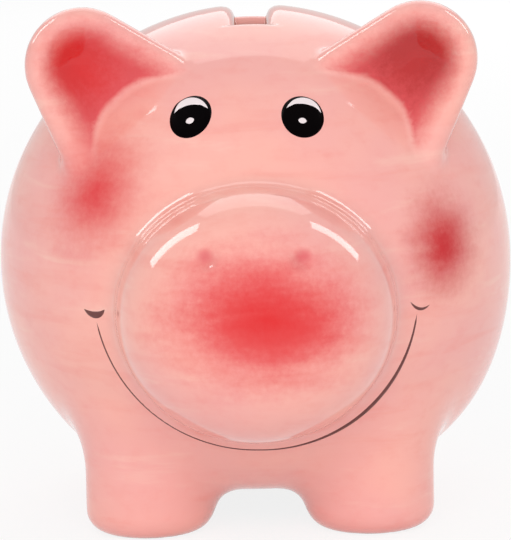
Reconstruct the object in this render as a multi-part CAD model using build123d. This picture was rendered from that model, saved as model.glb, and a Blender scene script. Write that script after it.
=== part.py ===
"""Ceramic piggy bank: slip-cast pieces luted into one hollow pig, and the rubber stopper in its belly.

Millimetres, +Z up. The pig faces -Y and stands on Z = 0; left and right are the pig's own, so its left is +X.
Everything is laid out around the globe's centre line (X = 0, Y = 0) and moved once, at the end, so that the
origin lies under the middle of the whole pig.
"""

from build123d import *
import math
import os

# ---- driving dimensions ----------------------------------------------------------------------------------------

WALL = 4.0  # cast wall of every hollow piece

GLOBE_RADII = (43.8, 46.5, 43.0)  # the body's half width, half length and half height before its belly is flattened
GLOBE_CENTRE_Z = 43.0
BELLY_Z = 6.0  # the flat belly above the table
BELLY_EDGE = 3.0  # rounding where the flat meets the globe
CENTRE = Vector(0, 0, GLOBE_CENTRE_Z)
ROOMY = 200.0  # side of a cutting block that is larger than the whole pig

SLOT_WIDTH = 5.2
SLOT_LENGTH = 28.0
SLOT_SETBACK = 1.8  # the slot sits this far behind the crown
SLOT_CORNER = 1.0
SLOT_LIP = 1.0  # rounding of the slot's upper edge
SLOT_CUTTER_FOOT_Z = 70.0  # the slot's cutter starts inside the hollow and ends above the crown
SLOT_CUTTER_HEIGHT = 40.0

HOLE_RADIUS = 13.4  # belly hole, wide enough for a 25.75 mm coin
VENT_RADIUS = 1.5  # lets the air out of each luted hollow piece while it is fired
THROUGH = 24.0  # length of a round cutter that has to pass right through a wall

SNOUT_CENTRE = Vector(0, -39.0, 39.8)
SNOUT_RADII = (22.7, 22.0, 21.2)  # half width, half depth, half height
SNOUT_POWER = 2.5  # superellipse: 2 is a plain ellipse, more is squarer
SNOUT_PROFILE_STEPS = 12
NOSTRIL_RADIUS = 1.9
NOSTRIL_DEPTH = 0.8
NOSTRIL_HALF_SPACING = 7.7
NOSTRIL_Z = 51.3

LEG_X = 18.5
LEG_Y = 21.5
LEG_RADIUS = 10.7
LEG_SOLE_EDGE = 4.0
LEG_TOP_Z = 24.0  # above the highest place where a leg meets the globe

EAR_ROOT = Vector(24.0, -24.6, 73.2)  # middle of the ear's base, where its cup's floor meets the globe
EAR_ALONG = Vector(0.74, -0.10, 0.66)  # from the root to the tip
EAR_FACING = Vector(-0.05, -1.0, 0.15)  # the way the cup opens
EAR_THICKNESS = 6.4
EAR_RIM = 2.8  # rounding of the rim
# The ear's outline is drawn round three circles: (along, across, radius).
EAR_CIRCLES = ((6.3, 1.6, 9.5), (-3.5, -10.0, 3.5), (-4.5, 10.6, 3.5))
EAR_CUP_CENTRE = (1.5, 0.6, 4.2)  # along, across, in front of the ear's middle plane
EAR_CUP_RADII = (12.9, 10.8, 4.6)

TAIL_Z = 56.0  # height of the curl's middle on the rump
TAIL_ROD = 2.3  # radius of the rolled clay
TAIL_CURL = 5.0  # radius of the curl
TAIL_PITCH = 6.2
TAIL_TURNS = 1.3
TAIL_BURIED = 1.8  # how far the rod's first end is sunk behind the surface

EYE_RADII = (3.45, 4.4)  # half width, half height of the eye transfer, measured on the sloping forehead
EYE_THICKNESS = 0.25
EYE_HALF_SPACING = 9.0
EYE_Z = 70.6

SEAT_RADIUS = 16.2  # shallow seat round the belly hole, so that the stopper's flange lies flush
SEAT_DEPTH = 1.6

STOPPER_FIT = 0.05  # radial gap between the squeezed ribs and the hole
STOPPER_FLANGE_RADIUS = 15.8
STOPPER_NECK_RADIUS = 12.8
STOPPER_BORE_RADIUS = 10.4
STOPPER_TOP_Z = 12.4
STOPPER_CROWN = 1.9  # thickness of the closed end over the finger bore
STOPPER_RIB_Z = (8.3, 9.5, 11.2)
STOPPER_RIB_HEIGHT = 0.7
STOPPER_RIB_ROUNDING = 0.28
STOPPER_EDGE = 0.5
GRIP_WIDTH = 3.2
GRIP_RECESS = 0.4  # the grip bar stays this far inside the flange's face


# ---- shapes that several pieces share ----------------------------------------------------------------------------


def ellipsoid(centre, radii):
    """A sphere of the first radius, stretched to the other two."""
    width, depth, height = radii
    return Pos(centre) * scale(Sphere(width), by=(1, depth / width, height / width))


def inset(radii, by):
    """The half sizes of an ellipsoid whose wall lies this far inside."""
    return tuple(r - by for r in radii)


def slab_above(z):
    """A block that is larger than the pig and stands on the plane at this height."""
    return Pos(0, 0, z + ROOMY / 2) * Box(ROOMY, ROOMY, ROOMY)


def globe(by=0.0):
    """The body's solid shape with its belly flattened, set in by a wall thickness."""
    flat = ellipsoid(CENTRE, inset(GLOBE_RADII, by)) & slab_above(BELLY_Z + by)
    rim = flat.edges().sort_by(Axis.Z)[0]
    return fillet(rim, BELLY_EDGE - min(by, BELLY_EDGE / 2))


def mirrored(shape):
    """The same piece on the pig's other side."""
    return mirror(shape, about=Plane.YZ)


def on_globe(x, z):
    """The point on the front of the globe with this X and Z."""
    half_width, half_length, half_height = GLOBE_RADII
    share = 1 - (x / half_width) ** 2 - ((z - GLOBE_CENTRE_Z) / half_height) ** 2
    return Vector(x, -half_length * math.sqrt(share), z)


def globe_normal(point):
    """The outward direction of the globe's surface at a point on it."""
    offset = point - CENTRE
    return Vector(*(d / r**2 for d, r in zip(offset, GLOBE_RADII))).normalized()


# ---- ceramic pieces ----------------------------------------------------------------------------------------------


def make_body_shell(outside):
    """The hollow globe with its coin slot, belly hole and the five vents under the luted pieces."""
    cutter = Box(SLOT_WIDTH, SLOT_LENGTH, SLOT_CUTTER_HEIGHT)
    cutter = fillet(cutter.edges().filter_by(Axis.Z), SLOT_CORNER)
    slotted = outside - Pos(0, SLOT_SETBACK, SLOT_CUTTER_FOOT_Z + SLOT_CUTTER_HEIGHT / 2) * cutter
    lip = slotted.edges().filter_by(lambda e: e.bounding_box().min.Z > SLOT_CUTTER_FOOT_Z + 1)
    hole = Pos(0, 0, BELLY_Z) * Cylinder(HOLE_RADIUS, THROUGH)
    seat = Pos(0, 0, BELLY_Z) * Cylinder(SEAT_RADIUS, 2 * SEAT_DEPTH)
    shell = fillet(lip, SLOT_LIP) - globe(WALL) - hole - seat
    vent = Cylinder(VENT_RADIUS, THROUGH)
    for x, y in leg_places():
        shell -= Pos(x, y, BELLY_Z + WALL) * vent
    return shell - Pos(0, -GLOBE_RADII[1], SNOUT_CENTRE.Z) * Rot(90, 0, 0) * vent


def snout_dome(by=0.0):
    """The snout's full rounded solid: a superellipse turned about its long axis, then made a little less tall."""
    width, depth, height = inset(SNOUT_RADII, by)
    turns = [math.pi * i / SNOUT_PROFILE_STEPS for i in range(SNOUT_PROFILE_STEPS + 1)]
    power = 2 / SNOUT_POWER
    across = [width * math.sin(t) ** power for t in turns]
    along = [-depth * math.copysign(abs(math.cos(t)) ** power, math.cos(t)) for t in turns]
    points = list(zip(across, along))
    points[0], points[-1] = (0, -depth), (0, depth)
    outline = Spline(*points, tangents=((1, 0), (-1, 0)))
    turned = revolve(make_face(outline + Line(points[-1], points[0])), Axis.Y, 360)
    return Pos(SNOUT_CENTRE) * scale(turned, by=(1, 1, height / width))


def make_snout(outside):
    """The hollow snout cap with two shallow nostrils, seated on the front of the globe."""
    cap = snout_dome() - snout_dome(WALL) - outside
    for side in (-1, 1):
        dish = Pos(side * NOSTRIL_HALF_SPACING, snout_face_y(NOSTRIL_HALF_SPACING, NOSTRIL_Z), NOSTRIL_Z)
        cap -= dish * Pos(0, NOSTRIL_DEPTH - NOSTRIL_RADIUS, 0) * Sphere(NOSTRIL_RADIUS)
    return cap


def snout_face_y(x, z):
    """The Y of the snout's front at this X and Z."""
    width, depth, height = SNOUT_RADII
    across = ((x / width) ** 2 + ((z - SNOUT_CENTRE.Z) / height) ** 2) ** (SNOUT_POWER / 2)
    return SNOUT_CENTRE.Y - depth * (1 - across) ** (1 / SNOUT_POWER)


def leg_places():
    """Where the four legs stand: front left, front right, rear left, rear right."""
    return [(side * LEG_X, end * LEG_Y) for end in (-1, 1) for side in (1, -1)]


def make_leg(x, y, outside):
    """A hollow leg with a rounded sole, cut to the globe that it is luted under."""
    post = Pos(x, y, LEG_TOP_Z / 2) * Cylinder(LEG_RADIUS, LEG_TOP_Z)
    post = fillet(post.edges().sort_by(Axis.Z)[0], LEG_SOLE_EDGE)
    hollow_height = LEG_TOP_Z - WALL
    hollow = Pos(x, y, WALL + hollow_height / 2) * Cylinder(LEG_RADIUS - WALL, hollow_height)
    hollow = fillet(hollow.edges().sort_by(Axis.Z)[0], LEG_SOLE_EDGE / 2)
    return post - hollow - outside


def make_ear(outside):
    """The left ear: a thick rounded petal with its front scooped into a cup, cut to the globe."""
    plane = Plane(origin=EAR_ROOT, x_dir=EAR_ALONG.normalized(), z_dir=ear_facing())
    circles = [Pos(along, across) * Circle(radius) for along, across, radius in EAR_CIRCLES]
    outline = make_hull([edge for circle in circles for edge in circle.edges()])
    petal = Pos(0, 0, -EAR_THICKNESS / 2) * extrude(outline, EAR_THICKNESS)
    petal = fillet(petal.edges().filter_by(lambda e: abs(abs((e @ 0.5).Z) - EAR_THICKNESS / 2) < 0.01), EAR_RIM)
    petal -= ellipsoid(Vector(*EAR_CUP_CENTRE), EAR_CUP_RADII)
    return plane.location * petal - outside


def ear_facing():
    """The cup's direction, made square to the ear's length."""
    along = EAR_ALONG.normalized()
    return (EAR_FACING - along * EAR_FACING.dot(along)).normalized()


def make_tail(outside):
    """A pig's curl of rolled clay, rising off the rump about the surface's own normal."""
    root = on_globe(0, TAIL_Z)
    root = Vector(0, -root.Y, TAIL_Z)
    normal = globe_normal(root)
    start = root - normal * TAIL_BURIED
    curl = Helix(TAIL_PITCH, TAIL_PITCH * TAIL_TURNS, TAIL_CURL, center=start, direction=normal)
    section = Plane(origin=curl @ 0, z_dir=curl % 0) * Circle(TAIL_ROD)
    ends = [Pos(curl @ end) * Sphere(TAIL_ROD) for end in (0, 1)]
    return sweep(section, path=curl) + ends - outside


def make_eye(outside):
    """The left eye's printed transfer, a thin skin on the globe."""
    place = on_globe(EYE_HALF_SPACING, EYE_Z)
    grown = ellipsoid(CENTRE, inset(GLOBE_RADII, -EYE_THICKNESS))
    outline = Plane(origin=place, z_dir=globe_normal(place)) * Ellipse(*EYE_RADII)
    return (extrude(outline, WALL, both=True) & grown) - outside


# ---- the stopper -------------------------------------------------------------------------------------------------


def make_stopper():
    """A soft plug: flange in the belly's seat, ribbed neck in the hole, and a grip bar across its finger bore."""
    flange = Pos(0, 0, BELLY_Z + SEAT_DEPTH / 2) * Cylinder(STOPPER_FLANGE_RADIUS, SEAT_DEPTH)
    flange = fillet(flange.edges().sort_by(Axis.Z)[0], STOPPER_EDGE)
    height = STOPPER_TOP_Z - BELLY_Z
    neck = Pos(0, 0, BELLY_Z + height / 2) * Cylinder(STOPPER_NECK_RADIUS, height)
    plug = flange + fillet(neck.edges().group_by(Axis.Z)[-1], STOPPER_EDGE)
    for z in STOPPER_RIB_Z:
        rib = Cylinder(HOLE_RADIUS - STOPPER_FIT, STOPPER_RIB_HEIGHT)
        plug += Pos(0, 0, z) * fillet(rib.edges(), STOPPER_RIB_ROUNDING)
    bore_depth = height - STOPPER_CROWN
    bore = Cylinder(STOPPER_BORE_RADIUS, bore_depth)
    grip_height = bore_depth - GRIP_RECESS
    grip = Pos(0, 0, GRIP_RECESS / 2) * Box(2 * STOPPER_NECK_RADIUS, GRIP_WIDTH, grip_height)
    return plug - Pos(0, 0, BELLY_Z + bore_depth / 2) * (bore - grip)


# ---- the whole pig -----------------------------------------------------------------------------------------------


def make_all():
    """Every node by name, around the globe's centre line."""
    outside = globe()
    ear = make_ear(outside)
    eye = make_eye(outside)
    legs = [make_leg(x, y, outside) for x, y in leg_places()]
    return {
        "body_shell": make_body_shell(outside),
        "snout": make_snout(outside),
        "left_ear": ear,
        "right_ear": mirrored(ear),
        "front_left_leg": legs[0],
        "front_right_leg": legs[1],
        "rear_left_leg": legs[2],
        "rear_right_leg": legs[3],
        "tail": make_tail(outside),
        "left_eye": eye,
        "right_eye": mirrored(eye),
        "stopper": make_stopper(),
    }


pieces = make_all()
box = Compound(children=[Compound(children=list(shape.solids())) for shape in pieces.values()]).bounding_box()
to_origin = Pos(0, -(box.min.Y + box.max.Y) / 2, 0)
print("moved along Y by", round(to_origin.position.Y, 3))
os.makedirs("parts", exist_ok=True)
for name, shape in pieces.items():
    export_step(to_origin * Compound(children=list(shape.solids())), f"parts/{name}.step")
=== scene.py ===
"""A glossy, hand-painted ceramic piggy bank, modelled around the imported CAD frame.

The ceramic is described once, as one smooth distance field made from the CAD's own pieces with soft
joints, and meshed from that. The skin is then cut along the joints into the pieces that the real pig is
luted together from, so that each stands for its CAD node and the surface runs on across every joint. The
clay is worked out in millimetres, around the globe's centre line; MM turns it into the scene's metres.
"""

import math
from functools import partial

import bmesh
import bpy
import numpy as np
from mathutils import Matrix, Vector


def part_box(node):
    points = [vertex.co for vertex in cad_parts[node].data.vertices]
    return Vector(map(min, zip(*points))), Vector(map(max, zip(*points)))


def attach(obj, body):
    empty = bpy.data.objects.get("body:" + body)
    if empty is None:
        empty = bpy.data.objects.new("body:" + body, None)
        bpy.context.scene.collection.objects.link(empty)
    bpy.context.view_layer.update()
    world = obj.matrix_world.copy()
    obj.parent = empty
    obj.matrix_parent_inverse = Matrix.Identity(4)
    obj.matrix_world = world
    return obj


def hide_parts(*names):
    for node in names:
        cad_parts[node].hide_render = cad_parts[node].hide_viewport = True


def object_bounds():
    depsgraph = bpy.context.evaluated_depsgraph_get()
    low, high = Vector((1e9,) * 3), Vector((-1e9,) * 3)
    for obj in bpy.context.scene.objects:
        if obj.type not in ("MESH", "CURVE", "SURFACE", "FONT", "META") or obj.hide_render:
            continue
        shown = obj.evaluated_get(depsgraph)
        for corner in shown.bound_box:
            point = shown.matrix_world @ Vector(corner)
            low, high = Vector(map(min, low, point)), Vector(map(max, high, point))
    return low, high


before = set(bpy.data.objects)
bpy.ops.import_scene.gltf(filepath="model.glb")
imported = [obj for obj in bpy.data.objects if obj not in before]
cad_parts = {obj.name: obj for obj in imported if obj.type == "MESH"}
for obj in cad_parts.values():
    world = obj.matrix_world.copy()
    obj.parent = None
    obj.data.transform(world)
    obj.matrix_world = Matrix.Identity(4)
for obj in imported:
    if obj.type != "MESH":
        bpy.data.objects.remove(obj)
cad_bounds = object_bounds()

MM = 0.001
BODY = "bank"


# ---- sizes, from the frame ---------------------------------------------------------------------------


def node_box(node):
    """A CAD node's lowest and highest corner in millimetres, in the row frame."""
    low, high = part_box(node)
    return np.array(low) / MM, np.array(high) / MM


def middle(node):
    low, high = node_box(node)
    return (low + high) / 2


def half_size(node):
    low, high = node_box(node)
    return (high - low) / 2


GLOBE_MIDDLE = middle("body_shell")
TO_ROW = np.array([0, GLOBE_MIDDLE[1], 0])  # from the globe's centre line to the row frame

GLOBE_HALF_HEIGHT = 43.0  # before the belly is flattened
GLOBE_RADII = np.array([half_size("body_shell")[0], half_size("body_shell")[1], GLOBE_HALF_HEIGHT])
GLOBE_CENTRE = np.array([0, 0, GLOBE_HALF_HEIGHT])
WALL = 4.0
BELLY_Z = node_box("body_shell")[0][2]
BELLY_EDGE = 3.0
BULGE_PLACE = np.array([36.0, -4.0, 17.0])  # the cast is a little fuller low on the pig's left
BULGE_HEIGHT = 1.4
BULGE_SPREAD = 12.0

SLOT_HALF = (2.6, 14.0)
SLOT_SETBACK = 1.8
SLOT_LIP = 3.0

HOLE_RADIUS = 13.45
SEAT_RADIUS = 16.2
SEAT_DEPTH = 1.6
HOLE_EDGE = 0.5

SNOUT_CENTRE = np.array([0, -39.0, middle("snout")[2]])
SNOUT_RADII = np.array([half_size("snout")[0], 22.0, half_size("snout")[2]])
SNOUT_POWER = 2.5
SNOUT_FIELD_SCALE = 0.85  # keeps the snout's field from growing faster than the distance
SNOUT_JOINT = 2.2
NOSTRILS = ((-7.9, 51.4), (7.5, 51.2))  # X and Z
NOSTRIL_RADIUS = 1.7
NOSTRIL_DEPTH = 0.55
NOSTRIL_EDGE = 1.0

LEG_CENTRE = middle("front_left_leg") - TO_ROW
LEG_RADIUS = half_size("front_left_leg")[0]
LEG_TOP_Z = 24.0
LEG_SOLE_EDGE = 3.6
LEG_JOINT = 5.5

EAR_ROOT = np.array([24.0, -24.6, 73.2])
EAR_ALONG = np.array([0.74, -0.10, 0.66])
EAR_FACING = np.array([-0.05, -1.0, 0.15])
EAR_CIRCLES = ((6.3, 1.6, 9.5), (-3.5, -9.8, 3.5), (-4.5, 9.6, 3.5))  # along, across, radius
EAR_CUP_CIRCLES = ((6.3, 1.6, 9.5), (-20.0, -15.5, 0.5), (-20.0, 14.5, 0.5))  # open at the root
EAR_HALF_THICKNESS = 3.2
EAR_RIM = 2.9
EAR_RIM_WIDTH = 1.0
EAR_DISH_WIDTH = 8.0
EAR_DISH_DEPTH = 3.8
EAR_JOINT = 2.0
EAR_MIDDLE = 6.0  # along the ear from its root
EAR_REACH = 17.0  # the whole ear lies this near to its middle
CUP_REACH = 25.0  # a cup's open outline is only looked at this near to the ear's middle
OUTSIDE_CUPS = -20.0
CUP_PAINT_SLOPE = 6.0  # how fast the cup's paint stops where the cup meets the globe

TAIL_Z = 56.0
TAIL_RODS = (2.5, 1.5)  # radius at the root and at the tip
TAIL_CURL = 5.0
TAIL_PITCH = 6.2
TAIL_TURNS = 1.3
TAIL_BURIED = 1.8
TAIL_STEPS = 40
TAIL_JOINT = 2.0
TAIL_REACH = 11.0  # the whole tail lies this near to its middle

FIELD_NEAR = 5.0  # an ear's or the tail's shape is worked out up to here, and beyond it a ball stands in
SLOPE_REACH = 0.05
OUTLINE_STEPS = 40

GRID_STEP = 0.9
GRID_MARGIN = 3.0
RELAX_ROUNDS = 2
CUT_MARGIN = 0.03  # a cut across an edge stays this share of it away from its ends


# ---- the clay as a distance field --------------------------------------------------------------------


def unit(v):
    return v / np.linalg.norm(v)


def soft_min(a, b, width):
    """The smaller of two fields, with a rounded joint where they cross."""
    near = np.maximum(width - np.abs(a - b), 0) / width
    return np.minimum(a, b) - near * near * width / 4


def soft_max(a, b, width):
    return -soft_min(-a, -b, width)


def ellipsoid(p, centre, radii):
    q = p - centre
    inner = np.linalg.norm(q / radii, axis=1)
    return inner * (inner - 1) / np.maximum(np.linalg.norm(q / radii**2, axis=1), 1e-9)


def rounded_post(across, along, half_height, radius, edge):
    """A round post's field, from the distances to its axis and to its middle."""
    side = across - (radius - edge)
    end = np.abs(along) - (half_height - edge)
    outside = np.hypot(np.maximum(side, 0), np.maximum(end, 0))
    return np.minimum(np.maximum(side, end), 0) + outside - edge


def globe_field(p):
    away = np.linalg.norm(p - BULGE_PLACE, axis=1) / BULGE_SPREAD
    globe = ellipsoid(p, GLOBE_CENTRE, GLOBE_RADII) - BULGE_HEIGHT * np.exp(-away * away / 2)
    return soft_max(globe, BELLY_Z - p[:, 2], BELLY_EDGE)


def chamber_field(p):
    return soft_max(ellipsoid(p, GLOBE_CENTRE, GLOBE_RADII - WALL), BELLY_Z + WALL - p[:, 2], BELLY_EDGE)


def snout_field(p):
    q = p - SNOUT_CENTRE
    round_part = ((q[:, 0] / SNOUT_RADII[0]) ** 2 + (q[:, 2] / SNOUT_RADII[2]) ** 2) ** (SNOUT_POWER / 2)
    level = (round_part + np.abs(q[:, 1] / SNOUT_RADII[1]) ** SNOUT_POWER) ** (1 / SNOUT_POWER)
    return np.linalg.norm(q, axis=1) * (1 - 1 / np.maximum(level, 1e-6)) * SNOUT_FIELD_SCALE


def leg_field(p, side, end):
    x, y = side * LEG_CENTRE[0], -end * LEG_CENTRE[1]
    across = np.hypot(p[:, 0] - x, p[:, 1] - y)
    return rounded_post(across, p[:, 2] - LEG_TOP_Z / 2, LEG_TOP_Z / 2, LEG_RADIUS, LEG_SOLE_EDGE)


def ear_axes(side):
    """The ear's own directions: along it, across it and out of its cup."""
    flip = np.array([side, 1, 1])
    along = unit(EAR_ALONG * flip)
    facing = EAR_FACING * flip
    facing = unit(facing - along * (facing @ along))
    return along, side * np.cross(facing, along), facing


def hull_outline(circles):
    """The corners, in order, of the band stretched round some circles."""
    turns = [2 * math.pi * i / OUTLINE_STEPS for i in range(OUTLINE_STEPS)]
    points = sorted((x + r * math.cos(t), y + r * math.sin(t)) for x, y, r in circles for t in turns)

    def half(ordered):
        kept = []
        for x, y in ordered:
            while len(kept) > 1:
                (ax, ay), (bx, by) = kept[-2:]
                if (bx - ax) * (y - ay) - (by - ay) * (x - ax) > 0:
                    break
                kept.pop()
            kept.append((x, y))
        return kept[:-1]

    return half(points) + half(points[::-1])


EAR_OUTLINE = hull_outline(EAR_CIRCLES)
EAR_CUP_OUTLINE = hull_outline(EAR_CUP_CIRCLES)


def outline_field(x, y, outline):
    """Signed distance to a convex outline."""
    nearest = np.full(x.shape, np.inf)
    inside = np.ones(x.shape, bool)
    for (ax, ay), (bx, by) in zip(outline, outline[1:] + outline[:1]):
        ex, ey = bx - ax, by - ay
        wx, wy = x - ax, y - ay
        share = np.clip((wx * ex + wy * ey) / (ex * ex + ey * ey), 0, 1)
        nearest = np.minimum(nearest, (wx - share * ex) ** 2 + (wy - share * ey) ** 2)
        inside &= ex * wy - ey * wx >= 0
    return np.where(inside, -1, 1) * np.sqrt(nearest)


def smooth_step(t):
    t = np.clip(t, 0, 1)
    return t * t * (3 - 2 * t)


def ear_field(p, side):
    """A rounded petal whose front is dished evenly in from its rim."""
    along, across, facing = ear_axes(side)
    q = p - EAR_ROOT * np.array([side, 1, 1])
    field = np.linalg.norm(q - along * EAR_MIDDLE, axis=1) - EAR_REACH
    near = field < FIELD_NEAR
    a, b, c = q[near] @ along, q[near] @ across, q[near] @ facing
    edge = outline_field(a, b, EAR_OUTLINE)
    inward = -outline_field(a, b, EAR_CUP_OUTLINE)
    dish = EAR_DISH_DEPTH * smooth_step((inward - EAR_RIM_WIDTH) / EAR_DISH_WIDTH)
    side_gap = edge + EAR_RIM
    face_gap = np.abs(c + dish / 2) - (EAR_HALF_THICKNESS - dish / 2 - EAR_RIM)
    outside = np.hypot(np.maximum(side_gap, 0), np.maximum(face_gap, 0))
    field[near] = np.minimum(np.maximum(side_gap, face_gap), 0) + outside - EAR_RIM
    return field


def cup_depth(p):
    """How far inside an ear's cup each point lies, in millimetres across its face. Below 0 outside it."""
    depth = np.full(len(p), OUTSIDE_CUPS)
    for side in (-1, 1):
        along, across, facing = ear_axes(side)
        q = p - EAR_ROOT * np.array([side, 1, 1])
        near = (np.linalg.norm(q - along * EAR_MIDDLE, axis=1) < CUP_REACH) & (q @ facing > -1)
        inward = -outline_field(q[near] @ along, q[near] @ across, EAR_CUP_OUTLINE)
        depth[near] = np.minimum(inward, CUP_PAINT_SLOPE * globe_field(p[near]))
    return depth


def tail_line():
    """Points along the curl, which rises off the rump about the surface's normal."""
    height = TAIL_Z - GLOBE_HALF_HEIGHT
    root = np.array([0, GLOBE_RADII[1] * math.sqrt(1 - (height / GLOBE_RADII[2]) ** 2), TAIL_Z])
    normal = unit((root - GLOBE_CENTRE) / GLOBE_RADII**2)
    sideways = np.array([1.0, 0, 0])
    upward = np.cross(normal, sideways)
    steps = np.linspace(0, 1, TAIL_STEPS + 1)
    angle = 2 * math.pi * TAIL_TURNS * steps
    rise = TAIL_PITCH * TAIL_TURNS * steps - TAIL_BURIED
    circle = np.outer(np.cos(angle), sideways) + np.outer(np.sin(angle), upward)
    return root + TAIL_CURL * circle + np.outer(rise, normal)


TAIL_LINE = tail_line()


def tail_field(p):
    """A tapering rod along the curl."""
    field = np.linalg.norm(p - TAIL_LINE.mean(axis=0), axis=1) - TAIL_REACH
    near = field < FIELD_NEAR
    q = p[near]
    best = np.full(len(q), np.inf)
    radii = np.linspace(*TAIL_RODS, TAIL_STEPS + 1)
    for a, b, ra, rb in zip(TAIL_LINE, TAIL_LINE[1:], radii, radii[1:]):
        run = b - a
        share = np.clip((q - a) @ run / (run @ run), 0, 1)
        gap = np.linalg.norm(q - a - share[:, None] * run, axis=1) - (ra + (rb - ra) * share)
        best = np.minimum(best, gap)
    field[near] = best
    return field


def add_on_fields():
    """Every luted piece: its CAD node, its field and the width of its joint with the globe."""
    found = {"snout": (snout_field, SNOUT_JOINT), "tail": (tail_field, TAIL_JOINT)}
    for name, side in (("left", 1), ("right", -1)):
        found[name + "_ear"] = (partial(ear_field, side=side), EAR_JOINT)
        for row, end in (("front", -1), ("rear", 1)):
            found[f"{row}_{name}_leg"] = (partial(leg_field, side=side, end=end), LEG_JOINT)
    return found


ADD_ONS = add_on_fields()


def clay_field(p):
    """The whole pig: globe and luted pieces, less the nostrils, slot, money chamber and belly hole."""
    field = globe_field(p)
    for piece_field, joint in ADD_ONS.values():
        field = soft_min(field, piece_field(p), joint)
    for x, z in NOSTRILS:
        dimple = np.array([x, nostril_y(x, z) + NOSTRIL_DEPTH - NOSTRIL_RADIUS, z])
        field = soft_max(field, NOSTRIL_RADIUS - np.linalg.norm(p - dimple, axis=1), NOSTRIL_EDGE)
    slot = np.maximum(np.abs(p[:, 0]) - SLOT_HALF[0], np.abs(p[:, 1] - SLOT_SETBACK) - SLOT_HALF[1])
    slot = np.maximum(slot, GLOBE_HALF_HEIGHT - p[:, 2])
    field = soft_max(field, -slot, SLOT_LIP)
    field = soft_max(field, -chamber_field(p), HOLE_EDGE)
    across = np.hypot(p[:, 0], p[:, 1])
    hole = np.maximum(across - HOLE_RADIUS, p[:, 2] - GLOBE_HALF_HEIGHT)
    seat = np.maximum(across - SEAT_RADIUS, p[:, 2] - BELLY_Z - SEAT_DEPTH)
    return soft_max(field, -np.minimum(hole, seat), HOLE_EDGE)


def nostril_y(x, z):
    """The Y of the snout's front at this X and Z."""
    across = ((x / SNOUT_RADII[0]) ** 2 + ((z - SNOUT_CENTRE[2]) / SNOUT_RADII[2]) ** 2) ** (SNOUT_POWER / 2)
    return SNOUT_CENTRE[1] - SNOUT_RADII[1] * (1 - across) ** (1 / SNOUT_POWER)


def slope(p):
    """The clay field's gradient."""
    steps = np.eye(3) * SLOPE_REACH
    return np.stack([(clay_field(p + s) - clay_field(p - s)) / (2 * SLOPE_REACH) for s in steps], axis=1)


def settle(p, rounds=3):
    """Moves points onto the clay's surface."""
    for _ in range(rounds):
        g = slope(p)
        p = p - g * (clay_field(p) / np.maximum((g * g).sum(axis=1), 1e-6))[:, None]
    return p


# ---- meshing -----------------------------------------------------------------------------------------


def sample_grid():
    """The clay field on a grid round the pig, and the grid's first corner."""
    low = np.array(cad_bounds[0]) / MM - TO_ROW - GRID_MARGIN
    high = np.array(cad_bounds[1]) / MM - TO_ROW + GRID_MARGIN
    axes = [np.arange(a, b + GRID_STEP, GRID_STEP) for a, b in zip(low, high)]
    layers = []
    for x in axes[0]:
        y, z = np.meshgrid(axes[1], axes[2], indexing="ij")
        points = np.stack([np.full(y.size, x), y.ravel(), z.ravel()], axis=1)
        layers.append(clay_field(points).reshape(y.shape))
    return np.array(layers), low


def surface_net(values, low):
    """A vertex in each grid cell that the surface passes through, and a quad for each grid edge it cuts."""
    cells = np.array(values.shape) - 1
    total = np.zeros((*cells, 3))
    count = np.zeros(cells)

    def corner(i, j, k):
        return values[i : i + cells[0], j : j + cells[1], k : k + cells[2]]

    for axis in range(3):
        for u in (0, 1):
            for v in (0, 1):
                start = np.insert([u, v], axis, 0)
                end = np.insert([u, v], axis, 1)
                a, b = corner(*start), corner(*end)
                cut = (a < 0) != (b < 0)
                share = np.where(cut, a / np.where(cut, a - b, 1), 0)
                place = np.broadcast_to(start, (*cells, 3)).astype(float).copy()
                place[..., axis] = share
                total += place * cut[..., None]
                count += cut
    used = count > 0
    index = np.full(cells, -1)
    index[used] = np.arange(used.sum())
    vertices = low + GRID_STEP * (np.argwhere(used) + total[used] / count[used][:, None])
    quads = []
    for axis in range(3):
        u, v = [other for other in range(3) if other != axis]
        a = values
        b = np.roll(values, -1, axis)
        inner = [slice(1, -1)] * 3
        inner[axis] = slice(0, -1)
        inner = tuple(inner)
        cut = np.zeros(values.shape, bool)
        cut[inner] = ((a < 0) != (b < 0))[inner]
        place = np.argwhere(cut)
        step_u, step_v = np.eye(3, dtype=int)[u], np.eye(3, dtype=int)[v]
        ring = [place - step_u - step_v, place - step_v, place, place - step_u]
        faces = np.stack([index[tuple(cell.T)] for cell in ring], axis=1)
        flip = (values[tuple(place.T)] < 0) != (axis == 1)
        faces[~flip] = faces[~flip][:, ::-1]
        quads.append(faces)
    return vertices, np.concatenate(quads)


def relax(vertices, quads):
    """Evens out the quads: pulls each vertex half way to its neighbours' mean, then back onto the clay."""
    pairs = np.concatenate([quads[:, [i, (i + 1) % 4]] for i in range(4)])
    pairs = np.concatenate([pairs, pairs[:, ::-1]])
    count = np.bincount(pairs[:, 0], minlength=len(vertices))[:, None]
    for _ in range(RELAX_ROUNDS):
        totals = [np.bincount(pairs[:, 0], vertices[pairs[:, 1], i], len(vertices)) for i in range(3)]
        vertices = settle((vertices + np.stack(totals, axis=1) / count) / 2, rounds=2)
    return vertices


def ownership(p):
    """How far points are from each luted piece's share of the skin. Below zero they belong to that piece."""
    globe = globe_field(p)
    inside = -globe - WALL / 2  # above zero on the chamber's wall, which is all the globe's
    return {name: np.maximum(field(p) - globe, inside) for name, (field, _) in ADD_ONS.items()}


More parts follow.
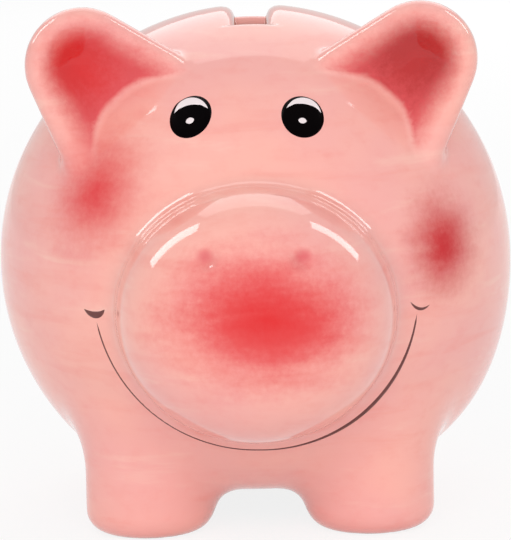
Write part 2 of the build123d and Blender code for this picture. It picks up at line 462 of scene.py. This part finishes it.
def split_on(vertices, faces, levels):
    """Cuts the faces that a level of zero passes through, along that level."""
    crossing = {}
    added = []

    def cut_between(i, j):
        key = (min(i, j), max(i, j))
        if key not in crossing:
            share = np.clip(levels[i] / (levels[i] - levels[j]), CUT_MARGIN, 1 - CUT_MARGIN)
            crossing[key] = len(vertices) + len(added)
            added.append(vertices[i] + (vertices[j] - vertices[i]) * share)
        return crossing[key]

    done = []
    for face in faces:
        signs = [int(levels[i] < 0) for i in face]
        if all(signs) or not any(signs):
            done.append(face)
            continue
        parts = ([], [])
        for n, i in enumerate(face):
            j = face[(n + 1) % len(face)]
            parts[signs[n]].append(i)
            if signs[n] != signs[(n + 1) % len(face)]:
                new = cut_between(i, j)
                parts[0].append(new)
                parts[1].append(new)
        done.extend(part for part in parts if len(part) > 2)
    if added:
        vertices = np.concatenate([vertices, settle(np.array(added))])
    return vertices, done


# ---- cutting the skin into its pieces ----------------------------------------------------------------

CAP_RINGS = 5
CAP_SINK = 0.035  # how far the lids lie inside the globe, as a share of its size
CAP_SINK_WITHIN = 1 / 3  # the lids are at that depth from this share of the way to their middles
CUP_ATTRIBUTE = "cup_depth"


def loops_of(faces):
    """The closed rims of a patch of faces, each as vertex numbers running the way the faces do."""
    edges = {(face[n], face[(n + 1) % len(face)]) for face in faces for n in range(len(face))}
    following = {a: b for a, b in edges if (b, a) not in edges}
    loops = []
    while following:
        start, at = following.popitem()
        loop = [start]
        while at != start:
            loop.append(at)
            at = following.pop(at)
        loops.append(loop)
    return loops


def lid_points(loop_points):
    """The new points of a lid over a rim, curved as the globe is: rings that close in, and a middle point."""
    level = np.linalg.norm((loop_points - GLOBE_CENTRE) / GLOBE_RADII, axis=1)
    centre = loop_points.mean(axis=0)
    rings = []
    for ring in range(1, CAP_RINGS + 1):
        share = ring / CAP_RINGS
        points = loop_points + (centre - loop_points) * share
        wanted = level + (1 - CAP_SINK - level) * min(1, share / CAP_SINK_WITHIN)
        reached = np.linalg.norm((points - GLOBE_CENTRE) / GLOBE_RADII, axis=1)
        rings.append(GLOBE_CENTRE + (points - GLOBE_CENTRE) * (wanted / reached)[:, None])
    return np.concatenate([*rings[:-1], rings[-1][:1]])


def lid_over(vertices, loop):
    """The lid's points and faces over one rim. Its faces run against the rim."""
    points = lid_points(vertices[loop])
    count = len(loop)
    base = len(vertices)

    def ring_at(ring):
        return loop if ring == 0 else [base + (ring - 1) * count + n for n in range(count)]

    lid = []
    for ring in range(CAP_RINGS - 1):
        outer, inner = ring_at(ring), ring_at(ring + 1)
        for n in range(count):
            m = (n + 1) % count
            lid.append([outer[m], outer[n], inner[n], inner[m]])
    last = ring_at(CAP_RINGS - 1)
    tip = base + len(points) - 1
    lid.extend([last[(n + 1) % count], last[n], tip] for n in range(count))
    return points, lid


def cut_skin():
    """The pig's skin in closed pieces: all its vertices, and {node: (skin faces, lid faces)}."""
    vertices, quads = surface_net(*sample_grid())
    vertices = relax(vertices, quads)
    faces = quads.tolist()
    for name in ADD_ONS:
        vertices, faces = split_on(vertices, faces, ownership(vertices)[name])
    vertices = settle(vertices)
    vertices[:, 2] = np.maximum(vertices[:, 2], 0)
    centres = np.array([vertices[face].mean(axis=0) for face in faces])
    shares = ownership(centres)
    names = list(shares)
    depth = np.array([shares[name] for name in names])
    owner = np.where(depth.min(axis=0) < 0, depth.argmin(axis=0), -1)
    skins = {name: [faces[n] for n in np.flatnonzero(owner == number)] for number, name in enumerate(names)}
    body_faces = [faces[n] for n in np.flatnonzero(owner == -1)]
    body_lids = []
    lids = {}
    for name, skin in skins.items():
        lids[name] = []
        for loop in loops_of(skin):
            points, lid = lid_over(vertices, loop)
            vertices = np.concatenate([vertices, points])
            lids[name] += lid
            body_lids += [face[::-1] for face in lid]
    pieces = {name: (skins[name], lids[name]) for name in names}
    pieces["body_shell"] = (body_faces, body_lids)
    return vertices, pieces


def new_object(name, vertices, faces):
    """A mesh object from points in millimetres round the globe's centre line."""
    mesh = bpy.data.meshes.new(name)
    mesh.from_pydata(((vertices + TO_ROW) * MM).tolist(), [], faces)
    mesh.validate()
    made = bpy.data.objects.new(name, mesh)
    bpy.context.scene.collection.objects.link(made)
    for polygon in mesh.polygons:
        polygon.use_smooth = True
    return made


def make_clay_piece(node, vertices, skin, lid, normals):
    """One luted piece, shaded by the clay's own slope so that no joint shows."""
    used = sorted({i for face in skin + lid for i in face})
    number = {old: new for new, old in enumerate(used)}
    faces = [[number[i] for i in face] for face in skin + lid]
    piece = new_object("glazed_" + node, vertices[used], faces)
    mesh = piece.data
    corner_normals = [tuple(normals[i]) for face in skin for i in face]
    for polygon in list(mesh.polygons)[len(skin) :]:
        corner_normals += [tuple(polygon.normal)] * len(polygon.vertices)
    mesh.normals_split_custom_set(corner_normals)
    paint = mesh.attributes.new(CUP_ATTRIBUTE, "FLOAT", "POINT")
    paint.data.foreach_set("value", cup_depth(vertices[used]))
    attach(piece, BODY)
    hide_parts(node)
    return piece


# ---- shaders -----------------------------------------------------------------------------------------


def colour(red, green, blue):
    """A display colour, 0 to 255, as the linear one that shaders take."""
    parts = [c / 255 for c in (red, green, blue)]
    return (*(c / 12.92 if c <= 0.04045 else ((c + 0.055) / 1.055) ** 2.4 for c in parts), 1.0)


class Shader:
    """A material and short ways to add its nodes. An input is a number, a colour or a node's output."""

    def __init__(self, name):
        self.material = bpy.data.materials.new(name)
        self.material.use_nodes = True
        self.tree = self.material.node_tree
        self.tree.nodes.clear()
        self.coordinate = self.add("ShaderNodeTexCoord").outputs["Object"]

    def add(self, kind, inputs=None, **settings):
        node = self.tree.nodes.new(kind)
        for key, value in settings.items():
            setattr(node, key, value)
        for key, value in (inputs or {}).items():
            if isinstance(value, bpy.types.NodeSocket):
                self.tree.links.new(value, node.inputs[key])
            else:
                node.inputs[key].default_value = value
        return node

    def math(self, operation, a, b=0.0):
        return self.add("ShaderNodeMath", {0: a, 1: b}, operation=operation).outputs[0]

    def mix(self, share, a, b):
        return self.add("ShaderNodeMix", {"Factor": share, 6: a, 7: b}, data_type="RGBA").outputs[2]

    def step(self, value, low, high, to_low=0.0, to_high=1.0):
        """A smooth step from to_low at low to to_high at high."""
        inputs = {"Value": value, "From Min": low, "From Max": high, "To Min": to_low, "To Max": to_high}
        return self.add("ShaderNodeMapRange", inputs, interpolation_type="SMOOTHSTEP").outputs["Result"]

    def placed(self, centre=(0, 0, 0), size=(1, 1, 1), turn=(0, 0, 0)):
        """Coordinates that are 0 at a centre and 1 long at a size away from it. Millimetres and degrees."""
        inputs = {
            "Vector": self.coordinate,
            "Location": [(c + t) * MM for c, t in zip(centre, TO_ROW)],
            "Rotation": [math.radians(t) for t in turn],
            "Scale": [s * MM for s in size],
        }
        return self.add("ShaderNodeMapping", inputs, vector_type="TEXTURE").outputs[0]

    def length(self, vector):
        return self.add("ShaderNodeVectorMath", {0: vector}, operation="LENGTH").outputs["Value"]

    def noise(self, grain, detail=2.0, roughness=0.5, distortion=0.0, shift=0.0):
        """Noise from 0 to 1 whose grain is (x, y, z) millimetres."""
        vector = self.placed(size=grain)
        moved = self.add("ShaderNodeVectorMath", {0: vector, 1: (shift, shift, shift)}).outputs[0]
        inputs = {"Vector": moved, "Scale": 1.0, "Detail": detail, "Roughness": roughness}
        return self.add("ShaderNodeTexNoise", {**inputs, "Distortion": distortion}).outputs[0]

    def around_zero(self, value, reach):
        """A value from 0 to 1 moved to run from -reach to reach."""
        return self.math("MULTIPLY", self.math("SUBTRACT", value, 0.5), 2 * reach)

    def finish(self, **inputs):
        inputs = {key.replace("_", " "): value for key, value in inputs.items()}
        principled = self.add("ShaderNodeBsdfPrincipled", inputs)
        self.add("ShaderNodeOutputMaterial", {"Surface": principled.outputs[0]})
        return self.material


# Airbrushed spots: centre, size, turn, colour, strength, and the shares of the size at which the paint
# begins and is full. A full share below 0 keeps even the spot's middle a little thin.
SPOTS = {
    "nose_wash": ((1.0, -59.0, 41.5), (22.0, 14.0, 15.0), (0, 0, 0), (228, 66, 72), 0.85, 1.05, 0.25),
    "nose_core": ((1.6, -61.0, 42.0), (15.0, 12.0, 9.0), (0, 2, 0), (222, 0, 8), 0.95, 1.1, -0.1),
    "cheek_right": ((-25.5, -33.7, 59.0), (11.5, 14.0, 14.5), (0, 25, 0), (222, 14, 32), 0.95, 1.1, -0.15),
    "cheek_left": ((31.0, -33.1, 48.8), (9.5, 14.0, 12.0), (0, 8, 0), (202, 0, 18), 1.0, 1.1, -0.05),
}
# The cups' deepest paint: centre, size, colour.
CUP_CORES = (
    ((-29.5, -24.0, 78.5), (10.5, 14.0, 9.5), (212, 4, 16)),
    ((27.0, -24.0, 79.5), (11.5, 14.0, 10.5), (180, 0, 10)),
)


def make_glaze():
    """Clear gloss over sponged pink slip with airbrushed red spots. The inside and soles are bare clay."""
    s = Shader("pink_glaze")
    height = s.add("ShaderNodeSeparateXYZ", {0: s.placed()}).outputs["Z"]
    streaks = s.noise((22, 22, 3.2), detail=4, roughness=0.55, distortion=0.3)
    cloud = s.noise((30, 30, 22), detail=3, shift=7.0)
    mottle = s.noise((3.5, 3.5, 2.2), detail=4, roughness=0.6, shift=3.0)
    pink = s.mix(s.step(cloud, 0.35, 0.65), colour(251, 182, 169), colour(246, 175, 168))
    pink = s.mix(s.step(streaks, 0.52, 0.72, 0.0, 0.35), pink, colour(244, 154, 142))
    pink = s.mix(s.step(streaks, 0.44, 0.24, 0.0, 0.5), pink, colour(252, 203, 188))
    pink = s.mix(s.step(mottle, 0.45, 0.75, 0.0, 0.25), pink, colour(243, 152, 142))
    spray = s.noise((1.1, 1.1, 1.1), detail=3, roughness=0.7, shift=11.0)
    drift = s.noise((14, 14, 4), detail=3, roughness=0.6, shift=19.0)
    for centre, size, turn, paint, strength, edge, core in SPOTS.values():
        away = s.length(s.placed(centre, size, turn))
        away = s.math("ADD", away, s.around_zero(spray, 0.13))
        away = s.math("ADD", away, s.around_zero(drift, 0.24))
        pink = s.mix(s.step(away, edge, core, 0.0, strength), pink, colour(*paint))
    depth = s.add("ShaderNodeAttribute", attribute_name=CUP_ATTRIBUTE).outputs["Fac"]
    depth = s.math("ADD", depth, s.around_zero(spray, 0.9))
    depth = s.math("ADD", depth, s.around_zero(mottle, 0.8))
    cup_paint = colour(220, 72, 78)
    for centre, size, paint in CUP_CORES:
        away = s.math("ADD", s.length(s.placed(centre, size)), s.around_zero(spray, 0.3))
        cup_paint = s.mix(s.step(away, 1.1, 0.2), cup_paint, colour(*paint))
    pink = s.mix(s.step(depth, 0.2, 6.0, 0.0, 0.96), pink, cup_paint)
    for x, z in NOSTRILS:
        away = s.length(s.placed((x, nostril_y(x, z), z), (2.0, 3.0, 1.7)))
        pink = s.mix(s.step(away, 1.0, 0.2, 0.0, 0.6), pink, colour(214, 62, 78))
    level = s.length(s.placed(GLOBE_CENTRE, GLOBE_RADII))
    bare = s.math("MULTIPLY", s.step(level, 0.962, 0.948), s.step(height, BELLY_Z + 0.8, BELLY_Z + 1.8))
    sole = s.math("MAXIMUM", bare, s.step(height, 0.35, 0.1))
    clay = s.mix(mottle, colour(206, 128, 108), colour(226, 160, 138))
    ripple = s.noise((9, 9, 9), detail=2, shift=5.0)
    bump = s.add("ShaderNodeBump", {"Strength": 0.06, "Distance": 0.6 * MM, "Height": ripple}).outputs[0]
    return s.finish(
        Base_Color=s.mix(sole, pink, clay),
        Roughness=s.step(sole, 0.0, 1.0, 0.07, 0.75),
        Normal=bump,
        IOR=1.5,
    )


def make_enamel(name, paint, other, shine=0.2):
    """A fired colour, slightly uneven. Its shine is the specular level, 0.5 for full glaze."""
    s = Shader(name)
    patchy = s.noise((1.4, 1.4, 1.4), detail=3, roughness=0.6)
    paint = s.mix(patchy, colour(*paint), colour(*other))
    return s.finish(Base_Color=paint, Roughness=0.3, IOR=1.5, Specular_IOR_Level=shine)


def make_rubber():
    """Matt black rubber with a little bloom."""
    s = Shader("stopper_rubber")
    bloom = s.noise((4, 4, 4), detail=4, roughness=0.65)
    grain = s.noise((0.25, 0.25, 0.25), detail=2)
    bump = s.add("ShaderNodeBump", {"Strength": 0.25, "Distance": 0.05 * MM, "Height": grain}).outputs[0]
    return s.finish(
        Base_Color=s.mix(s.step(bloom, 0.4, 0.75), colour(34, 34, 37), colour(62, 61, 62)),
        Roughness=s.step(bloom, 0.3, 0.7, 0.5, 0.72),
        Normal=bump,
    )


# ---- painted features --------------------------------------------------------------------------------

ENAMEL_LIFT = 0.12
ENAMEL_SINK = 0.2
ENAMEL_EDGE = 0.25
MOUTH_LIFT = 0.08
MOUTH_ROWS = 3
SEAM_GAP = 0.002

SEARCH_FROM_Y = -75.0  # in front of the snout
SEARCH_ROUNDS = 60
SEARCH_STEP = 0.8  # share of the field's value to move by


def on_front(x, z):
    """The points of the clay that are met first on the way back from the front at these X and Z."""
    p = np.stack([x, np.full(len(x), SEARCH_FROM_Y), z], axis=1)
    for _ in range(SEARCH_ROUNDS):
        p[:, 1] += SEARCH_STEP * clay_field(p)
    return p


def enamel(name, upper, lower, material, lift=ENAMEL_LIFT, rows=8, replaces=None):
    """A thin skin of colour on the clay between two curves that share their ends."""
    share = np.linspace(0, 1, rows + 1)[:, None, None]
    grid = upper + (lower - upper) * share
    edge = np.minimum(np.linalg.norm(grid - upper, axis=2), np.linalg.norm(grid - lower, axis=2))
    flat = settle(grid.reshape(-1, 3))
    normal = slope(flat)
    normal /= np.linalg.norm(normal, axis=1)[:, None]
    rise = lift * smooth_step(edge.ravel() / ENAMEL_EDGE)
    top = flat + normal * rise[:, None]
    bottom = flat - normal * ENAMEL_SINK
    columns = grid.shape[1]
    faces = []

    def at(r, c):
        return r * columns + c

    for r in range(rows):
        for c in range(columns - 1):
            quad = [at(r, c), at(r + 1, c), at(r + 1, c + 1), at(r, c + 1)]
            faces.append(quad)
            faces.append([i + len(flat) for i in quad[::-1]])
    for r in (0, rows):
        for c in range(columns - 1):
            wall = [at(r, c), at(r, c + 1), at(r, c + 1) + len(flat), at(r, c) + len(flat)]
            faces.append(wall if r == 0 else wall[::-1])
    piece = new_object(name, np.concatenate([top, bottom]), faces)
    tidy_seams(piece)
    piece.data.materials.append(material)
    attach(piece, BODY)
    if replaces:
        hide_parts(replaces)


def tidy_seams(piece):
    """Joins the points that lie on each other at the skin's two tips and turns every face outward."""
    mesh = bmesh.new()
    mesh.from_mesh(piece.data)
    bmesh.ops.remove_doubles(mesh, verts=mesh.verts, dist=SEAM_GAP * MM)
    bmesh.ops.recalc_face_normals(mesh, faces=mesh.faces)
    mesh.to_mesh(piece.data)
    mesh.free()


FACE_PITCH = 8.5  # the eyes are drawn to look right from in front and this much above, in degrees
# The pig's own right and left eye: place on the front (X, Z), half sizes, tilt, lid tips, lid bulges,
# glint place, glint half sizes, glint tilt.
EYES = {
    "right_eye": (
        (-10.0, 70.8), (3.12, 3.80), 41, ((-2.70, 0.14), (3.02, 0.92)), (2.72, 1.14),
        (-0.05, -0.82), (0.72, 0.60), -20,
    ),
    "left_eye": (
        (8.15, 70.5), (3.33, 3.60), -45, ((-2.80, 1.10), (3.10, 0.15)), (2.62, 1.22),
        (-0.10, -0.80), (0.70, 0.58), 10,
    ),
}
EYE_COLUMNS = 48
PUPIL_SHARE = 0.88
PUPIL_LIFT = 0.15
LID_LIFT = 0.17
GLINT_LIFT = 0.21


def turned(points, degrees):
    """Flat points turned clockwise."""
    c, s = math.cos(math.radians(degrees)), math.sin(math.radians(degrees))
    return points @ np.array([[c, -s], [s, c]])


def oval_halves(centre, half_sizes, tilt):
    """The upper and lower half of a tilted oval, both from its left end to its right."""
    turn = np.linspace(math.pi, 0, EYE_COLUMNS)
    halves = []
    for sign in (1, -1):
        points = np.stack([half_sizes[0] * np.cos(turn), sign * half_sizes[1] * np.sin(turn)], axis=1)
        halves.append(turned(points, tilt) + np.array(centre))
    return halves


def bowed(start, end, bulge):
    """A circular arc between two flat points that bulges to its left by this much."""
    start, end = np.array(start), np.array(end)
    half = np.linalg.norm(end - start) / 2
    radius = (half**2 + bulge**2) / (2 * bulge)
    sweep = math.asin(min(1, half / radius)) if bulge < half else math.pi - math.asin(min(1, half / radius))
    turn = np.linspace(-sweep, sweep, EYE_COLUMNS)
    along = (end - start) / (2 * half)
    aside = np.array([-along[1], along[0]])
    middle_point = (start + end) / 2 + aside * (bulge - radius)
    return middle_point + radius * (np.outer(np.sin(turn), along) + np.outer(np.cos(turn), aside))


def on_forehead(place, points):
    """Flat points, as they look from in front, laid on the clay round a place on the forehead."""
    centre = on_front(np.array([place[0]]), np.array([place[1]]))
    out = unit(slope(centre)[0])
    pitch = math.radians(FACE_PITCH)
    sight = np.array([0, math.cos(pitch), -math.sin(pitch)])
    upward = np.array([0, math.sin(pitch), math.cos(pitch)])
    seen = points[:, :1] * np.array([1.0, 0, 0]) + points[:, 1:] * upward
    flat = centre + seen - np.outer(seen @ out, sight) / (sight @ out)
    return settle(flat)


def make_eye(node, black, white):
    """A printed eye: black oval, a raised pupil, a pale lid crescent and a glint."""
    place, half_sizes, tilt, tips, bulges, glint, glint_sizes, glint_tilt = EYES[node]

    def lay(halves):
        return [on_forehead(place, half) for half in halves]

    enamel(node + "_outline", *lay(oval_halves((0, 0), half_sizes, tilt)), black, replaces=node)
    pupil_sizes = [PUPIL_SHARE * h for h in half_sizes]
    enamel(node + "_pupil", *lay(oval_halves((0, 0), pupil_sizes, tilt)), black, PUPIL_LIFT)
    lid = lay([bowed(*tips, bulge) for bulge in bulges])
    enamel(node + "_lid", *lid, white, LID_LIFT)
    enamel(node + "_glint", *lay(oval_halves(glint, glint_sizes, glint_tilt)), white, GLINT_LIFT)


MOUTH_COLUMNS = 120
MOUTH_REACH = (-86.0, 86.5)  # degrees either side of straight down
MOUTH_LOW_RADIUS = 23.7
MOUTH_SPREAD = 2.3
MOUTH_SAG = 0.5  # the pig's left half hangs a little further out
MOUTH_THIN, MOUTH_THICK = 0.24, 0.62
MARK_COLUMNS = 24


def mouth_curves():
    """Both edges of the smile, a brush line round the snout that is thick on the pig's left."""
    turn = np.linspace(*MOUTH_REACH, MOUTH_COLUMNS)
    angle = np.radians(turn)
    radius = MOUTH_LOW_RADIUS + MOUTH_SPREAD * (turn / MOUTH_REACH[1]) ** 2
    radius += MOUTH_SAG * np.maximum(0, np.sin(2 * angle))
    swell = smooth_step(turn / 48) * smooth_step((MOUTH_REACH[1] + 6 - turn) / 40)
    width = MOUTH_THIN + (MOUTH_THICK - MOUTH_THIN) * swell
    width *= smooth_step((turn - MOUTH_REACH[0]) / 3) * smooth_step((MOUTH_REACH[1] - turn) / 3)
    curves = []
    for side in (-0.5, 0.5):
        reach = radius + side * width
        curves.append((reach * np.sin(angle), SNOUT_CENTRE[2] - reach * np.cos(angle)))
    return curves


def brush_mark(start, via, end, width):
    """Both edges of a short stroke with pointed ends, which bends towards via. Its width is at its middle."""
    t = np.linspace(0, 1, MARK_COLUMNS)[:, None]
    start, via, end = (np.array(p) for p in (start, via, end))
    line = (1 - t) ** 2 * start + 2 * t * (1 - t) * via + t**2 * end
    along = np.gradient(line, axis=0)
    along /= np.linalg.norm(along, axis=1)[:, None]
    aside = np.stack([-along[:, 1], along[:, 0]], axis=1)
    half = width / 2 * np.sin(math.pi * t) ** 0.8
    return [(line + side * half * aside).T for side in (1, -1)]


def make_mouth(brown):
    """The painted smile and the small mark at each of its ends."""
    strokes = {
        "smile": mouth_curves(),
        "smile_end_right": brush_mark((-28.0, 39.9), (-25.9, 38.2), (-24.5, 40.2), 1.15),
        "smile_end_left": brush_mark((24.9, 40.4), (26.45, 38.0), (28.2, 39.4), 0.5),
    }
    for name, curves in strokes.items():
        upper, lower = (on_front(x, z) for x, z in curves)
        enamel(name, upper, lower, brown, MOUTH_LIFT, MOUTH_ROWS)


# ---- building ----------------------------------------------------------------------------------------

vertices, clay_pieces = cut_skin()
normals = slope(vertices)
normals /= np.maximum(np.linalg.norm(normals, axis=1), 1e-9)[:, None]
glaze = make_glaze()
for node, (skin, lid) in clay_pieces.items():
    piece = make_clay_piece(node, vertices, skin, lid, normals)
    piece.data.materials.append(glaze)

black = make_enamel("eye_black", (2, 1, 2), (7, 3, 4), shine=0.02)
white = make_enamel("eye_white", (243, 232, 233), (236, 222, 224))
brown = make_enamel("mouth_brown", (124, 78, 74), (98, 56, 56))
for node in EYES:
    make_eye(node, black, white)
make_mouth(brown)

rubber = make_rubber()
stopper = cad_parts["stopper"]
for number in range(len(stopper.material_slots)):
    stopper.material_slots[number].material = rubber


# ---- studio ------------------------------------------------------------------------------------------

CAMERA_DISTANCE = 0.600
CAMERA_PITCH = 8.5
CAMERA_ROLL = -1.2
CAMERA_AIM_BELOW = 0.263  # degrees below the globe's centre
CAMERA_LENS = 232.0
LAMP_TARGET = (0, 0, 0.045)
ROOM_LIGHT = 0.86  # the room's strength where it lights, against 1 where it is seen or reflected
FLOOR_HALF = 1.5
FLOOR_GLOW = 0.85  # how much of the floor that is seen is plain white, against paper that takes the shadow


def aimed(location, target, roll=0.0):
    """The matrix of a camera or lamp at a place, looking at a target."""
    turn = (Vector(target) - Vector(location)).to_track_quat("-Z", "Y").to_matrix().to_4x4()
    return Matrix.Translation(location) @ turn @ Matrix.Rotation(math.radians(roll), 4, "Z")


def make_camera():
    centre = (GLOBE_CENTRE + TO_ROW) * MM
    pitch = math.radians(CAMERA_PITCH)
    location = centre + CAMERA_DISTANCE * np.array([0, -math.cos(pitch), math.sin(pitch)])
    drop = CAMERA_DISTANCE * math.tan(math.radians(CAMERA_AIM_BELOW))
    target = centre - drop * np.array([0, math.sin(pitch), math.cos(pitch)])
    data = bpy.data.cameras.new("camera")
    data.sensor_fit = "VERTICAL"
    data.sensor_height = 36.0
    data.lens = CAMERA_LENS
    data.clip_start = 0.01
    camera = bpy.data.objects.new("camera", data)
    camera.matrix_world = aimed(location, target, CAMERA_ROLL)
    bpy.context.scene.collection.objects.link(camera)
    bpy.context.scene.camera = camera


def make_lamp(name, location, size, brightness, diffuse=True, glossy=True):
    """A rectangular softbox. Its brightness is its power per area, over pi."""
    data = bpy.data.lights.new(name, "AREA")
    data.shape = "RECTANGLE"
    data.size, data.size_y = size
    data.energy = brightness * math.pi * size[0] * size[1]
    lamp = bpy.data.objects.new(name, data)
    lamp.matrix_world = aimed(location, LAMP_TARGET)
    lamp.visible_diffuse = diffuse
    lamp.visible_glossy = glossy
    lamp.visible_camera = False
    bpy.context.scene.collection.objects.link(lamp)


def make_world():
    """A white room: full white where it is seen or reflected, softer where it lights."""
    world = bpy.data.worlds.new("white_room")
    world.use_nodes = True
    tree = world.node_tree
    tree.nodes.clear()
    path = tree.nodes.new("ShaderNodeLightPath")
    seen = path.outputs["Is Camera Ray"]
    for ray in ("Is Glossy Ray", "Is Transmission Ray"):
        either = tree.nodes.new("ShaderNodeMath")
        either.operation = "MAXIMUM"
        tree.links.new(seen, either.inputs[0])
        tree.links.new(path.outputs[ray], either.inputs[1])
        seen = either.outputs[0]
    strength = tree.nodes.new("ShaderNodeMapRange")
    strength.inputs["To Min"].default_value = ROOM_LIGHT
    strength.inputs["To Max"].default_value = 1.0
    tree.links.new(seen, strength.inputs["Value"])
    background = tree.nodes.new("ShaderNodeBackground")
    tree.links.new(strength.outputs[0], background.inputs["Strength"])
    output = tree.nodes.new("ShaderNodeOutputWorld")
    tree.links.new(background.outputs[0], output.inputs["Surface"])
    bpy.context.scene.world = world


def make_floor():
    """A white table top that keeps the pig's shadow and can be looked through from below."""
    mesh = bpy.data.meshes.new("floor")
    corners = [(x * FLOOR_HALF, y * FLOOR_HALF, 0) for x, y in ((-1, -1), (1, -1), (1, 1), (-1, 1))]
    mesh.from_pydata(corners, [], [(0, 1, 2, 3)])
    floor = bpy.data.objects.new("floor", mesh)
    bpy.context.scene.collection.objects.link(floor)
    s = Shader("floor_white")
    path = s.add("ShaderNodeLightPath")
    seen = s.math("MAXIMUM", path.outputs["Is Camera Ray"], path.outputs["Is Glossy Ray"])
    seen = s.math("MAXIMUM", seen, path.outputs["Is Transmission Ray"])
    paper = s.add("ShaderNodeBsdfDiffuse", {"Color": (0.9, 0.9, 0.9, 1)}).outputs[0]
    glow = s.add("ShaderNodeEmission", {"Color": (1, 1, 1, 1), "Strength": 1.0}).outputs[0]
    share = s.math("MULTIPLY", seen, FLOOR_GLOW)
    both = s.add("ShaderNodeMixShader", {0: share, 1: paper, 2: glow}).outputs[0]
    below = s.add("ShaderNodeNewGeometry").outputs["Backfacing"]
    clear = s.add("ShaderNodeBsdfTransparent").outputs[0]
    surface = s.add("ShaderNodeMixShader", {0: below, 1: both, 2: clear}).outputs[0]
    s.add("ShaderNodeOutputMaterial", {"Surface": surface})
    mesh.materials.append(s.material)


make_camera()
make_world()
make_floor()
make_lamp("softbox_left", (-0.43, 0.14, 0.44), (0.12, 0.36), 6.5, diffuse=False)
make_lamp("softbox_right", (0.42, 0.14, 0.44), (0.10, 0.34), 6.0, diffuse=False)
make_lamp("panel_behind", (0, 0.70, 0.69), (0.9, 0.85), 1.1, diffuse=False)
make_lamp("front_wash", (-0.05, -0.95, 0.30), (0.9, 0.9), 1.9, glossy=False)
make_lamp("rear_wash", (0.3, 0.95, 0.55), (0.9, 0.9), 1.15, glossy=False)

bpy.context.scene.view_settings.view_transform = "Standard"
